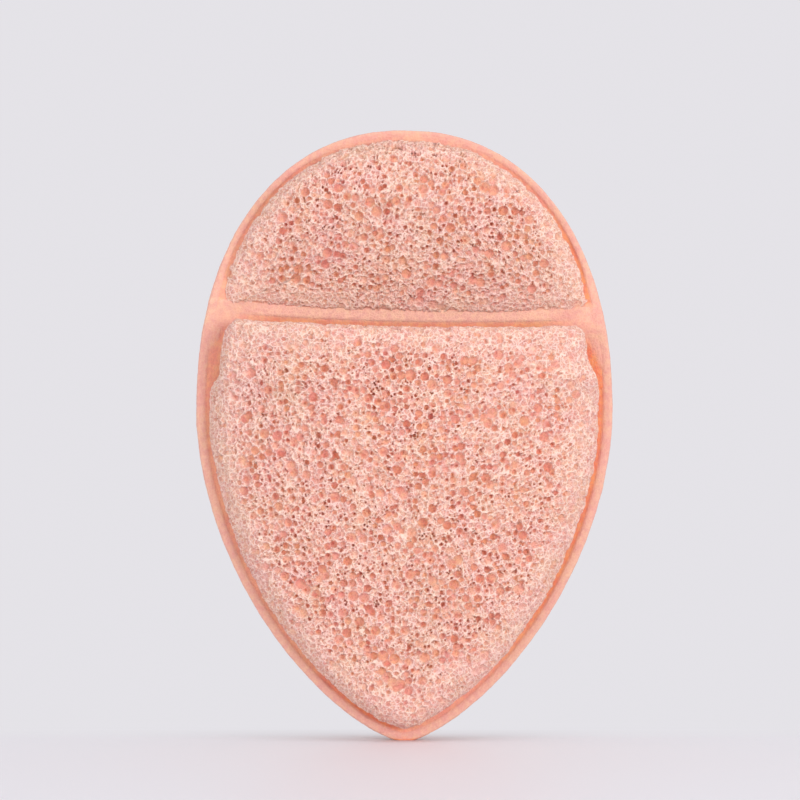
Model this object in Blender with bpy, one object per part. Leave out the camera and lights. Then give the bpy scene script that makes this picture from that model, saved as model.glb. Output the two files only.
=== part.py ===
"""Facial cleansing glove: a drop shaped glove of three foam sheets, pressed together round the edge.

Metres, +Z up. The glove stands on its blunt tip at the origin. Its cleansing face looks along +Y,
and the finger pocket is on the -Y side, open towards the round top of the drop.

Each sheet is thick porous foam in the middle, the pad, and thin dense foam round the edge, the rim.
The face sheet covers the whole drop. Behind it, the flap sheet covers the upper third and ends in a
pressed hem with an ear at each end. The pocket sheet covers the rest, and its free upper edge, the
lip, stands clear of the hem, so that fingers slide in from above, between the hem and the lip.

Depths are measured from the weld plane, where the sheets meet, out towards either side.
"""

import math

import bmesh
import bpy
from mathutils import Vector

# The drop, seen square on
HALF_WIDTH = 0.04265
WIDEST_HEIGHT = 0.0675  # height of the widest place above the foot
TOP_RISE = 0.0575  # from the widest place to the top
TIP_OVERRUN = 0.0005  # how far the pointed outline runs below the flat foot
TOP_ROUNDNESS = 2.2  # power of the round upper half, where 2 is an ellipse
TIP_ROUNDNESS = 1.85  # power of the drawn out lower half along the height
TIP_FLARE = 0.70  # power of the lower half across the width
TIP_INSET_RATE = 1.3  # how much faster an inset outline draws back at the tip than at the sides

# The pressed rim of each sheet
RIM_WIDTH = 0.0026
RIM_THICKNESS = 0.00145
RIM_SPLIT_HEIGHT = 0.073  # where the flap's rim ends and the pocket's rim begins
# Across the rim from its outer edge, and out from the weld plane: a bead, then a crease by the pad
RIM_SECTION_SHARES = (
    (0.08, 0.0),
    (0.0, 0.25),
    (0.0, 0.72),
    (0.13, 0.95),
    (0.34, 1.0),
    (0.58, 0.84),
    (0.8, 0.64),
    (1.0, 0.6),
    (1.0, 0.0),
)

# Clearances
SHEET_CLEARANCE = 0.0003  # between the sheets, and between a pad and what it meets
HALF_CLEARANCE = SHEET_CLEARANCE / 2

# The round edge that every pad has
EDGE_ROUND = 0.0055  # how far the rounding reaches in from the pad's edge
EDGE_SQUARENESS = 2.5  # power of the rounding, where 2 is an ellipse and 1 a straight slope
DRAW_IN = 0.0005  # how far a pad's side is drawn in where it joins its rim
DRAW_IN_HEIGHT_SHARE = 0.35  # share of the pad's height at which the side stands out fully
INNER_ROUND = 0.0022  # rounding of a pad's edge on the side of the hand

# The face pad
FACE_HEIGHT = 0.0112
FACE_CROWN_DROP = 0.0012  # how much lower the pad is at its edge than in the middle
FACE_FLAT_SHARE = 0.36  # share of the way out over which the pad is flat, where it rests
FACE_DISH = 0.0019  # how far the side of the hand is dished
FACE_MIDDLE_HEIGHT = 0.064

# The pocket pad and its lip
POCKET_THICKNESS = 0.0078
POCKET_CROWN_DROP = 0.0008
POCKET_HOLLOW = 0.0074  # how far the lip stands off the weld plane in the middle
POCKET_FULLNESS = 2.4  # power of the hollow's arch from side to side, where 2 is a parabola
POCKET_RISE = 0.6  # power of the hollow's rise from the tip to the lip
POCKET_MIDDLE_HEIGHT = 0.050
LIP_HEIGHT = 0.0852  # top of the lip in the middle
LIP_BOW = 0.0011  # how much higher the lip is at its corners
LIP_CORNER = 0.0034
LIP_ROUND = 0.0034  # rounding of the lip and the free sides on the outside
LIP_SIDE_INSET = 0.0043  # from the drop's outline to the lip's free sides
FREE_SIDE_FOOT_HEIGHT = 0.0708  # where the free sides leave the rim
FREE_SIDE_SLANT = 0.0105  # height over which they slant in from the rim
LIFT_REACH = 0.0045  # height over which the pad's sides rise off the rim
HOLLOW_FOOT_HEIGHT = 0.009  # where the finger pocket begins, above the tip

# The flap pad and its hem
FLAP_HEIGHT = 0.0098
FLAP_CROWN_DROP = 0.0014
FLAP_DISH = 0.0006
FLAP_MIDDLE_SHARE = 0.45  # share of the way up from the hem to the top of the drop
FLAP_CORNER = 0.0032
HEM_SLOPE = 0.0115  # how far above the hem the pad's slope reaches its full height
HEM_SLOPE_SQUARENESS = 1.3  # power of the slope, where 1 is straight
HEM_SLOPE_FOOT_SHARE = 0.3  # share of the pad's height that the slope starts from
MOUTH_SLIT = 0.0007  # from the top of the lip up to the lower edge of the hem, seen square on
HEM_BOW = 0.0014  # how much higher the hem lies at its ends
HEM_HEIGHT = 0.0021
HEM_THICKNESS = 0.00145
HEM_EDGE = 0.00035  # rounding of the hem's edges
EAR_FOOT_HEIGHT = 0.0762
EAR_WIDTH = 0.0052  # at the hem
EAR_FOOT_WIDTH = 0.0024

# How finely the shapes are divided
DROP_STEPS = 80
PAD_STEPS = 66
CURVE_STEPS = 12
CORNER_STEPS = 4
EDGE_RISE_SHARES = (0.0, 0.13, 0.32, 0.54, 0.74, 0.89, 0.97, 1.0)
INNER_RISE_SHARES = (0.45, 0.82, 1.0)
MIDDLE_SHARES = (0.3, 0.6, 0.82)  # of the way from the rounded edge to the pad's middle

POROUS = ("porous foam", (0.93, 0.56, 0.45, 1.0), 0.95)
PRESSED = ("pressed foam", (0.90, 0.46, 0.33, 1.0), 0.8)

REAR = -1.0
FRONT = -REAR


def smooth_step(value, start, end):
    """A share from 0 at start to 1 at end, level at both."""
    share = min(max((value - start) / (end - start), 0.0), 1.0)
    return share * share * (3 - 2 * share)


def blend(first, second, share):
    return first + (second - first) * share


def drop_point(angle, inset=0.0):
    """A point (x, z) of the drop's outline, or of one drawn in by inset.

    Angle 0 is at +X, and a quarter turn is at the top.
    """
    across, up = math.cos(angle), math.sin(angle)
    half_width = HALF_WIDTH - inset
    if up >= 0:
        x = half_width * abs(across) ** (2 / TOP_ROUNDNESS)
        z = WIDEST_HEIGHT + (TOP_RISE - inset) * up ** (2 / TOP_ROUNDNESS)
    else:
        reach = WIDEST_HEIGHT + TIP_OVERRUN - TIP_INSET_RATE * inset
        x = half_width * abs(across) ** (2 * TIP_FLARE)
        z = WIDEST_HEIGHT - reach * abs(up) ** (2 / TIP_ROUNDNESS)
    return math.copysign(x, across), max(z, 0.0)


def angle_at_height(height, inset=0.0):
    """The angle on the right of the upper half at which the outline drawn in by inset has this height."""
    share = (height - WIDEST_HEIGHT) / (TOP_RISE - inset)
    return math.asin(min(max(share, 0.0), 1.0) ** (TOP_ROUNDNESS / 2))


def turned(start, end, steps):
    """Angles from start to end, both included."""
    return [start + (end - start) * i / steps for i in range(steps + 1)]


def half_width_at(height, inset=0.0):
    """Half the drop's width at a height, for an outline drawn in by inset."""
    if height >= WIDEST_HEIGHT:
        share = min((height - WIDEST_HEIGHT) / (TOP_RISE - inset), 1.0)
        return (HALF_WIDTH - inset) * (1 - share**TOP_ROUNDNESS) ** (1 / TOP_ROUNDNESS)
    reach = WIDEST_HEIGHT + TIP_OVERRUN - TIP_INSET_RATE * inset
    share = min((WIDEST_HEIGHT - height) / reach, 1.0)
    return (HALF_WIDTH - inset) * (1 - share**TIP_ROUNDNESS) ** TIP_FLARE


def bowed(x, middle_height, bow):
    """Height at x of an edge that is bowed: lowest in the middle, and higher by bow at the drop's sides."""
    return middle_height + bow * (x / HALF_WIDTH) ** 2


def hem_low(x):
    return bowed(x, LIP_HEIGHT + MOUTH_SLIT, HEM_BOW)


def hem_top(x):
    return hem_low(x) + HEM_HEIGHT


def lip_top(x):
    return bowed(x, LIP_HEIGHT, LIP_BOW)


def corner(before, at, after, radius):
    """A rounded corner: a curve from the line between before and at, to the one between at and after."""
    at = Vector(at)
    start = at + (Vector(before) - at).normalized() * radius
    end = at + (Vector(after) - at).normalized() * radius
    points = []
    for step in range(CORNER_STEPS + 1):
        share = step / CORNER_STEPS
        points.append(tuple(start.lerp(at, share).lerp(at.lerp(end, share), share)))
    return points


def evenly_spaced(points, count):
    """This many points, evenly spaced round the closed outline through the given ones."""
    loop = [Vector(p) for p in points]
    loop.append(loop[0])
    lengths = [(b - a).length for a, b in zip(loop, loop[1:], strict=False)]
    step = sum(lengths) / count
    spaced, wanted, passed = [], 0.0, 0.0
    for start, end, length in zip(loop, loop[1:], lengths, strict=False):
        while wanted < passed + length and len(spaced) < count:
            spaced.append(tuple(start.lerp(end, (wanted - passed) / length)))
            wanted += step
        passed += length
    return spaced


def far_from(points, place, radius):
    """The points that lie further than radius from a place."""
    return [p for p in points if (Vector(p) - Vector(place)).length > radius]


def face_outline():
    """The edge of the face pad: the whole drop, inside its rim."""
    angles = turned(0, 2 * math.pi, 4 * DROP_STEPS)[:-1]
    return [drop_point(a, RIM_WIDTH) for a in angles]


def flap_outline():
    """The edge of the flap pad: the drop's upper part inside its rim, then along the top of the hem."""
    reach = half_width_at(hem_top(HALF_WIDTH), RIM_WIDTH)
    start = angle_at_height(hem_top(reach), RIM_WIDTH)
    arch = [drop_point(a, RIM_WIDTH) for a in turned(start, math.pi - start, 2 * DROP_STEPS)]
    right, left = arch[0], arch[-1]
    edge = [(x, hem_top(x)) for x in turned(left[0], right[0], 4 * CURVE_STEPS)]
    arch = far_from(far_from(arch, right, FLAP_CORNER), left, FLAP_CORNER)
    edge = far_from(far_from(edge, right, FLAP_CORNER), left, FLAP_CORNER)
    return (
        arch
        + corner(arch[-1], left, edge[0], FLAP_CORNER)
        + edge
        + corner(edge[-1], right, arch[0], FLAP_CORNER)
    )


def lip_side_inset(height):
    """How far the pocket pad's side is drawn in from the drop's outline: more along the free sides."""
    slant = smooth_step(height, FREE_SIDE_FOOT_HEIGHT, FREE_SIDE_FOOT_HEIGHT + FREE_SIDE_SLANT)
    return blend(RIM_WIDTH, LIP_SIDE_INSET, slant)


def pocket_outline():
    """The edge of the pocket pad: up one side from the tip, along the lip, and down the other side."""
    top = angle_at_height(lip_top(HALF_WIDTH), LIP_SIDE_INSET)
    sides = []
    for angle in turned(math.pi - top, 2 * math.pi + top, 4 * DROP_STEPS):
        height = drop_point(angle)[1]
        sides.append(drop_point(angle, lip_side_inset(height)))
    left, right = sides[0], sides[-1]
    lip = [(x, lip_top(x)) for x in turned(right[0], left[0], 4 * CURVE_STEPS)]
    sides = far_from(far_from(sides, right, LIP_CORNER), left, LIP_CORNER)
    lip = far_from(far_from(lip, right, LIP_CORNER), left, LIP_CORNER)
    return (
        sides
        + corner(sides[-1], right, lip[0], LIP_CORNER)
        + lip
        + corner(lip[-1], left, sides[0], LIP_CORNER)
    )


def new_mesh_object(name, vertices, faces, finish, parent):
    """An object of these vertices and faces, with its faces turned outwards and its own material."""
    mesh = bpy.data.meshes.new(name)
    mesh.from_pydata(vertices, [], faces)
    shape = bmesh.new()
    shape.from_mesh(mesh)
    bmesh.ops.recalc_face_normals(shape, faces=shape.faces)
    if shape.calc_volume(signed=True) < 0:
        bmesh.ops.reverse_faces(shape, faces=shape.faces)
    shape.to_mesh(mesh)
    shape.free()
    mesh.shade_smooth()
    mesh.materials.append(foam_material(name, finish))
    made = bpy.data.objects.new(name, mesh)
    bpy.context.collection.objects.link(made)
    made.parent = parent
    return made


def foam_material(name, finish):
    """A Principled material of a foam's colour and roughness."""
    kind, colour, roughness = finish
    material = bpy.data.materials.new(f"{name} {kind}")
    material.use_nodes = True
    shader = material.node_tree.nodes["Principled BSDF"]
    shader.inputs["Base Color"].default_value = colour
    shader.inputs["Roughness"].default_value = roughness
    shader.inputs["Metallic"].default_value = 0.0
    material.diffuse_color = colour
    return material


def pressed_rim(name, side, angles, closed, parent):
    """A rim: the bead and crease of RIM_SECTION_SHARES, run along the drop's outline."""
    vertices = []
    for angle in angles:
        for across, out in RIM_SECTION_SHARES:
            x, z = drop_point(angle, across * RIM_WIDTH)
            vertices.append((x, side * (HALF_CLEARANCE + out * RIM_THICKNESS), z))
    around, count = len(RIM_SECTION_SHARES), len(angles)
    faces = []
    for i in range(count if closed else count - 1):
        here, there = i * around, (i + 1) % count * around
        for k in range(around):
            after = (k + 1) % around
            faces.append((here + k, here + after, there + after, there + k))
    if not closed:
        faces.append(tuple(range(around)))
        faces.append(tuple(range((count - 1) * around, count * around)))
    return new_mesh_object(name, vertices, faces, PRESSED, parent)


def pad(name, side, outline, middle_height, free_edge, rounding, outer_depth, inner_depth, parent):
    """A pad with a round edge: rings from its edge to its middle, over the outside and over the hand's side.

    free_edge(x, z) is 1 where the edge is cut free, as on the lip, and 0 where it joins a rim.
    rounding(x, z) gives the reach and the squareness of the outer rounding at a place on the edge.
    outer_depth and inner_depth give a depth at (x, z, share), share being 0 in the middle and 1 at the edge.
    """
    points = [Vector(p) for p in evenly_spaced(outline, PAD_STEPS)]
    middle = Vector((0.0, middle_height))
    vertices, faces = [], []

    def ring(inset_of, depth_of):
        start = len(vertices)
        for edge in points:
            reach = (edge - middle).length
            share = 1 - inset_of(edge, reach) / reach
            place = middle + (edge - middle) * share
            vertices.append((place.x, side * depth_of(edge, place, share), place.y))
        return start

    def edge_depth(edge):
        """Depth of the pad's outermost line: halfway through a free edge, and at the weld plane by a rim."""
        free = free_edge(edge.x, edge.y)
        halfway = (outer_depth(edge.x, edge.y, 1) + inner_depth(edge.x, edge.y, 1)) / 2
        return blend(HALF_CLEARANCE, halfway, free)

    def rounded(rise, edge_rounding, depth):
        """A ring on the round edge, at a share of its rise from the outermost line to the flat of the pad."""

        def inset_of(edge, radius):
            reach, squareness = edge_rounding(edge.x, edge.y)
            inset = reach * (1 - (1 - rise**squareness) ** (1 / squareness))
            drawn = max(0.0, 1 - rise / DRAW_IN_HEIGHT_SHARE) * (1 - free_edge(edge.x, edge.y))
            return inset + DRAW_IN * drawn

        def depth_of(edge, place, share):
            return blend(edge_depth(edge), depth(place.x, place.y, share), rise)

        return ring(inset_of, depth_of)

    def middle_ring(share_in, edge_rounding, depth):
        """A ring inside the round edge, at a share of the way from there to the middle."""

        def inset_of(edge, radius):
            return blend(edge_rounding(edge.x, edge.y)[0], radius, share_in)

        def depth_of(edge, place, share):
            return depth(place.x, place.y, share)

        return ring(inset_of, depth_of)

    def bridge(first, second):
        count = len(points)
        for i in range(count):
            after = (i + 1) % count
            faces.append((first + i, first + after, second + after, second + i))

    def close(last, depth):
        centre = len(vertices)
        vertices.append((middle.x, side * depth(middle.x, middle.y, 0.0), middle.y))
        for i in range(len(points)):
            faces.append((last + i, last + (i + 1) % len(points), centre))

    outside = [rounded(rise, rounding, outer_depth) for rise in EDGE_RISE_SHARES]
    outside += [middle_ring(share, rounding, outer_depth) for share in MIDDLE_SHARES]
    inside = [outside[0]]
    inside += [rounded(rise, inner_rounding, inner_depth) for rise in INNER_RISE_SHARES]
    inside += [middle_ring(share, inner_rounding, inner_depth) for share in MIDDLE_SHARES]
    for rings, depth in ((outside, outer_depth), (inside, inner_depth)):
        for first, second in zip(rings, rings[1:], strict=False):
            bridge(first, second)
        close(rings[-1], depth)
    return new_mesh_object(name, vertices, faces, POROUS, parent)


def joined_edge(x, z):
    return 0.0


def even_rounding(x, z):
    return EDGE_ROUND, EDGE_SQUARENESS


def inner_rounding(x, z):
    return INNER_ROUND, EDGE_SQUARENESS


def pocket_rounding(x, z):
    """The pocket pad's free edges are rounded more tightly than those at the rim."""
    return blend(EDGE_ROUND, LIP_ROUND, lift(z)), EDGE_SQUARENESS


def crowned(height, drop, flat_share, share):
    """A pad's height at a share of the way out: level in the middle, then lower by drop at the edge."""
    out = max(0.0, (share - flat_share) / (1 - flat_share))
    return height - drop * out * out


def face_outer(x, z, share):
    return crowned(FACE_HEIGHT, FACE_CROWN_DROP, FACE_FLAT_SHARE, share)


def face_inner(x, z, share):
    return HALF_CLEARANCE + FACE_DISH * (1 - share * share)


def flap_outer(x, z, share):
    """The outside of the flap pad: a dome that slopes down to the hem along its lower edge."""
    left = max(0.0, 1 - (z - hem_top(x)) / HEM_SLOPE)
    slope = (1 - min(left, 1.0) ** HEM_SLOPE_SQUARENESS) ** (1 / HEM_SLOPE_SQUARENESS)
    return crowned(FLAP_HEIGHT, FLAP_CROWN_DROP, 0.0, share) * blend(HEM_SLOPE_FOOT_SHARE, 1, slope)


def flap_inner(x, z, share):
    return HALF_CLEARANCE + FLAP_DISH * (1 - share * share)


def lift(z):
    """A share from 0, where the pocket sheet is welded, to 1, where its free sides lie over the ears."""
    return smooth_step(z, FREE_SIDE_FOOT_HEIGHT, FREE_SIDE_FOOT_HEIGHT + LIFT_REACH)


def pocket_free_edge(x, z):
    return lift(z)


def pocket_inner(x, z, share):
    """The hand's side of the pocket sheet: it bows off the weld plane, most at the middle of the lip."""
    over_ears = (HEM_THICKNESS + SHEET_CLEARANCE) * lift(z)
    half_width = half_width_at(max(z, HOLLOW_FOOT_HEIGHT), LIP_SIDE_INSET)
    across = min(abs(x) / half_width, 1.0) ** POCKET_FULLNESS
    along = smooth_step(z, HOLLOW_FOOT_HEIGHT, LIP_HEIGHT) ** POCKET_RISE
    return HALF_CLEARANCE + over_ears + (POCKET_HOLLOW - over_ears) * (1 - across) * along


def pocket_outer(x, z, share):
    return pocket_inner(x, z, share) + crowned(POCKET_THICKNESS, POCKET_CROWN_DROP, 0.0, share)


def hem_outline():
    """The hem and its ears: along the top, down to an ear's foot, back under the hem, and again."""
    inset = RIM_WIDTH + SHEET_CLEARANCE
    high = angle_at_height(hem_top(half_width_at(hem_top(HALF_WIDTH), inset)), inset)
    low = angle_at_height(EAR_FOOT_HEIGHT, inset)
    side = [drop_point(a, inset) for a in turned(high, low, CURVE_STEPS)]
    top_reach, foot_reach = side[0][0], side[-1][0]
    foot = (foot_reach - EAR_FOOT_WIDTH, EAR_FOOT_HEIGHT)
    root = top_reach - EAR_WIDTH
    right = corner(side[-2], side[-1], foot, EAR_FOOT_WIDTH / 3)
    right += corner(side[-1], foot, (root, hem_low(root)), EAR_FOOT_WIDTH / 3)
    right = side[:-1] + right
    right += corner(foot, (root, hem_low(root)), (0.0, hem_low(0.0)), EAR_WIDTH / 2)
    left = [(-x, z) for x, z in reversed(right)]
    under = [(x, hem_low(x)) for x in turned(right[-1][0], left[0][0], 2 * CURVE_STEPS)]
    above = [(x, hem_top(x)) for x in turned(-top_reach, top_reach, 2 * CURVE_STEPS)]
    return right + under[1:-1] + left + above[1:-1]


def hem(name, parent):
    """The flap's pressed hem with its two ears, as a thin plate with rounded edges."""
    points = hem_outline()
    back = [(x, REAR * HALF_CLEARANCE, z) for x, z in points]
    front = [(x, REAR * (HALF_CLEARANCE + HEM_THICKNESS), z) for x, z in points]
    count = len(points)
    faces = [tuple(range(count)), tuple(range(count, 2 * count))]
    for i in range(count):
        after = (i + 1) % count
        faces.append((i, after, count + after, count + i))
    made = new_mesh_object(name, back + front, faces, PRESSED, parent)
    rounding = made.modifiers.new("rounded edge", "BEVEL")
    rounding.width = HEM_EDGE
    rounding.segments = 2
    rounding.limit_method = "ANGLE"
    rounding.angle_limit = math.radians(50)
    return made


def depth_middle(objects):
    """The middle of these objects' depth, which the origin has to stand under."""
    depths = [v.co.y for o in objects for v in o.data.vertices]
    return (min(depths) + max(depths)) / 2


def main():
    for old in list(bpy.data.objects):
        bpy.data.objects.remove(old, do_unlink=True)

    glove = bpy.data.objects.new("glove", None)
    bpy.context.collection.objects.link(glove)

    whole = turned(0, 2 * math.pi, DROP_STEPS)[:-1]
    upper = angle_at_height(RIM_SPLIT_HEIGHT + HALF_CLEARANCE)
    lower = angle_at_height(RIM_SPLIT_HEIGHT - HALF_CLEARANCE)
    arch = turned(upper, math.pi - upper, DROP_STEPS // 2)
    bowl = turned(math.pi - lower, 2 * math.pi + lower, DROP_STEPS // 2)
    pressed_rim("face_rim", FRONT, whole, True, glove)
    pressed_rim("flap_rim", REAR, arch, False, glove)
    pressed_rim("pocket_rim", REAR, bowl, False, glove)
    hem("flap_hem", glove)

    face = pad(
        "face_pad",
        FRONT,
        face_outline(),
        FACE_MIDDLE_HEIGHT,
        joined_edge,
        even_rounding,
        face_outer,
        face_inner,
        glove,
    )
    pad(
        "flap_pad",
        REAR,
        flap_outline(),
        blend(hem_top(0.0), WIDEST_HEIGHT + TOP_RISE, FLAP_MIDDLE_SHARE),
        joined_edge,
        even_rounding,
        flap_outer,
        flap_inner,
        glove,
    )
    pocket = pad(
        "pocket_pad",
        REAR,
        pocket_outline(),
        POCKET_MIDDLE_HEIGHT,
        pocket_free_edge,
        pocket_rounding,
        pocket_outer,
        pocket_inner,
        glove,
    )
    glove.location.y = -depth_middle((face, pocket))


main()
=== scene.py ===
"""Facial cleansing glove, dressed: a drop of three foam sheets, pressed together round the edge.

Metres, +Z up. The glove stands on its blunt tip. The finger pocket looks along -Y, towards the
camera, and the cleansing face along +Y.

The thick parts of the sheets, the pads, are open foam: each is a finely divided shell whose
surface is pushed down into the round cells that the cut through the foam has opened. The pressed
parts, the rims and the hem, are modelled as rings and strips with a fine dense grain.
"""

import logging
import math
from dataclasses import dataclass, field
from enum import Enum

import bmesh
import bpy
import numpy as np
from mathutils import Euler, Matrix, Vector


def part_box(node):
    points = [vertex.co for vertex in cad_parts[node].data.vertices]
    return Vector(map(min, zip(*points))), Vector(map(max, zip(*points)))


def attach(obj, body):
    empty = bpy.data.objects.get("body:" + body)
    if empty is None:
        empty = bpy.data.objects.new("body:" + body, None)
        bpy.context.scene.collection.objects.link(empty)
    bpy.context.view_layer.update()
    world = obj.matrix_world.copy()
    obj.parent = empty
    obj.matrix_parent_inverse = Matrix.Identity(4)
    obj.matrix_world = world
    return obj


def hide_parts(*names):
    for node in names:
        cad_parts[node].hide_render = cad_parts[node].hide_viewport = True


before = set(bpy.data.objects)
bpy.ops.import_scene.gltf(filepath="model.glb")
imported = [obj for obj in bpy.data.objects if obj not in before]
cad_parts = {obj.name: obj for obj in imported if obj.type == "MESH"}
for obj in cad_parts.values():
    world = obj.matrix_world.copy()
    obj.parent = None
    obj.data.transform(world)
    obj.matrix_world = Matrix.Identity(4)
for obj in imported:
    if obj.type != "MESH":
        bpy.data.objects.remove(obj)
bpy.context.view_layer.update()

log = logging.getLogger("glove")

Array = np.ndarray
Colour = tuple[float, float, float]

BODY = "root"

# Factors and shifts that turn a lattice node's numbers into an even random one.
NODE_FACTORS = (0x9E3779B97F4A7C15, 0xC2B2AE3D27D4EB4F, 0x165667B19E3779F9)
SEED_FACTOR = 0x2545F491
MIXING = ((30, 0xBF58476D1CE4E5B9), (27, 0x94D049BB133111EB))
LAST_SHIFT, SPARE_BITS, NUMBER_BITS = 31, 11, 53

# What is added to a layer's seed for each of a cell's random numbers.
PLACE_SEEDS, RADIUS_SEED, KEPT_SEED, TONE_SEED = (1, 2, 3), 4, 5, 6

# The Mix node's sockets for colours, by number, because several of them share a name.
MIX_SHARE, MIX_FIRST, MIX_SECOND, MIX_RESULT = 0, 6, 7, 2

# A new primitive's size, before its points are placed.
RAW_SIZE = 0.1
MERGE_DISTANCE = 1e-6
TINY = 1e-12


class Side(Enum):
    """The side of the weld plane that a sheet lies on, as the sign of Y."""

    POCKET = -1.0
    FACE = 1.0


class Slot(Enum):
    """The material slots of the glove."""

    POROUS = "porous_foam"
    PRESSED = "pressed_foam"


def smooth_step(value: Array, start: float, end: float) -> Array:
    """A share from 0 at start to 1 at end, level at both."""
    share = np.clip((value - start) / (end - start), 0.0, 1.0)
    return share * share * (3 - 2 * share)


def blend(first: Array, second: Array, share: Array) -> Array:
    """The value at a share of the way from first to second."""
    return first + (second - first) * share


def scattered(nodes: Array, seed: int) -> Array:
    """Random numbers for lattice nodes, always the same for the same node and seed.

    Args:
        nodes: rows of three whole numbers.
        seed: a different one gives other numbers.

    Returns:
        One number from 0 to 1 for each node.
    """
    factors = np.array(NODE_FACTORS, dtype=np.uint64)
    mixed = (nodes.astype(np.int64).astype(np.uint64) * factors).sum(axis=-1, dtype=np.uint64)
    mixed += np.uint64(seed * SEED_FACTOR + 1)
    for shift, factor in MIXING:
        mixed = (mixed ^ (mixed >> np.uint64(shift))) * np.uint64(factor)
    mixed ^= mixed >> np.uint64(LAST_SHIFT)
    return (mixed >> np.uint64(SPARE_BITS)).astype(np.float64) / 2**NUMBER_BITS


@dataclass(frozen=True)
class Drop:
    """The glove's outline, seen square on: round at the top, and drawn out to a blunt tip."""

    half_width: float
    top: float
    widest_height: float = 0.0675
    tip_overrun: float = 0.0005
    top_roundness: float = 2.2
    tip_roundness: float = 1.85
    tip_flare: float = 0.70
    tip_inset_rate: float = 1.08

    def places(self, angles: Array, inset: Array | float = 0.0) -> Array:
        """Points of the outline, or of one drawn in.

        Args:
            angles: where on the outline, 0 at +X and a quarter turn at the top.
            inset: how far the outline is drawn in, one value or one for each angle.

        Returns:
            The points as rows of x and z.
        """
        across, up = np.cos(angles), np.sin(angles)
        half_width = self.half_width - inset
        rise = self.top - self.widest_height - inset
        reach = self.widest_height + self.tip_overrun - self.tip_inset_rate * inset
        over = up >= 0
        power = np.where(over, 2 / self.top_roundness, 2 * self.tip_flare)
        x = half_width * np.abs(across) ** power
        high = self.widest_height + rise * np.abs(up) ** (2 / self.top_roundness)
        low = self.widest_height - reach * np.abs(up) ** (2 / self.tip_roundness)
        return np.stack((np.copysign(x, across), np.maximum(np.where(over, high, low), 0.0)), axis=-1)

    def half_width_at(self, height: Array, inset: float = 0.0) -> Array:
        """Half the width of the outline.

        Args:
            height: where.
            inset: how far the outline is drawn in.

        Returns:
            Half the width at each height, 0 above and below the outline.
        """
        rise = self.top - self.widest_height - inset
        reach = self.widest_height + self.tip_overrun - self.tip_inset_rate * inset
        up = np.clip((height - self.widest_height) / rise, 0.0, 1.0)
        down = np.clip((self.widest_height - height) / reach, 0.0, 1.0)
        high = (1 - up**self.top_roundness) ** (1 / self.top_roundness)
        low = (1 - down**self.tip_roundness) ** self.tip_flare
        return (self.half_width - inset) * np.where(height >= self.widest_height, high, low)

    def angle_at_height(self, height: float, inset: float = 0.0) -> float:
        """The angle on the right of the upper half at which the outline has this height."""
        share = (height - self.widest_height) / (self.top - self.widest_height - inset)
        return math.asin(min(max(share, 0.0), 1.0) ** (self.top_roundness / 2))


@dataclass(frozen=True)
class Weld:
    """Where the sheets meet, and how the rims and the mouth of the pocket lie on them."""

    plane: float
    drop: Drop
    clearance: float = 0.0003
    rim_width: float = 0.0026
    rim_thickness: float = 0.00145
    rim_split_height: float = 0.073
    lip_height: float = 0.0852
    lip_bow: float = 0.0011
    mouth_slit: float = 0.0007
    hem_bow: float = 0.0014
    hem_height: float = 0.0018
    hem_thickness: float = 0.00145
    lean: float = 0.02
    top_rim_share: float = 0.72
    top_rim_rise: tuple[float, float] = (0.0870, 0.1010)

    def bowed(self, x: Array, middle_height: float, bow: float) -> Array:
        """Height at x of an edge that is higher by bow at the sides, and leans down to the right."""
        return middle_height + bow * (x / self.drop.half_width) ** 2 - self.lean * x

    def lip_top(self, x: Array) -> Array:
        """Height of the lip at x."""
        return self.bowed(x, self.lip_height, self.lip_bow)

    def hem_low(self, x: Array) -> Array:
        """Height of the hem's lower edge at x."""
        return self.bowed(x, self.lip_height + self.mouth_slit, self.hem_bow)

    def hem_top(self, x: Array) -> Array:
        """Height of the hem's upper edge at x."""
        return self.hem_low(x) + self.hem_height

    def rim_share(self, z: Array) -> Array:
        """Width of the pocket side's rim at a height, as a share of rim_width: less round the top."""
        return blend(1.0, self.top_rim_share, smooth_step(z, *self.top_rim_rise))

    @property
    def seat(self) -> float:
        """Depth at which the pressed strips begin."""
        return self.clearance / 4

    def out(self, side: Side, depth: Array) -> Array:
        """The y of a depth on one side of the weld plane."""
        return self.plane + side.value * depth


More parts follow.
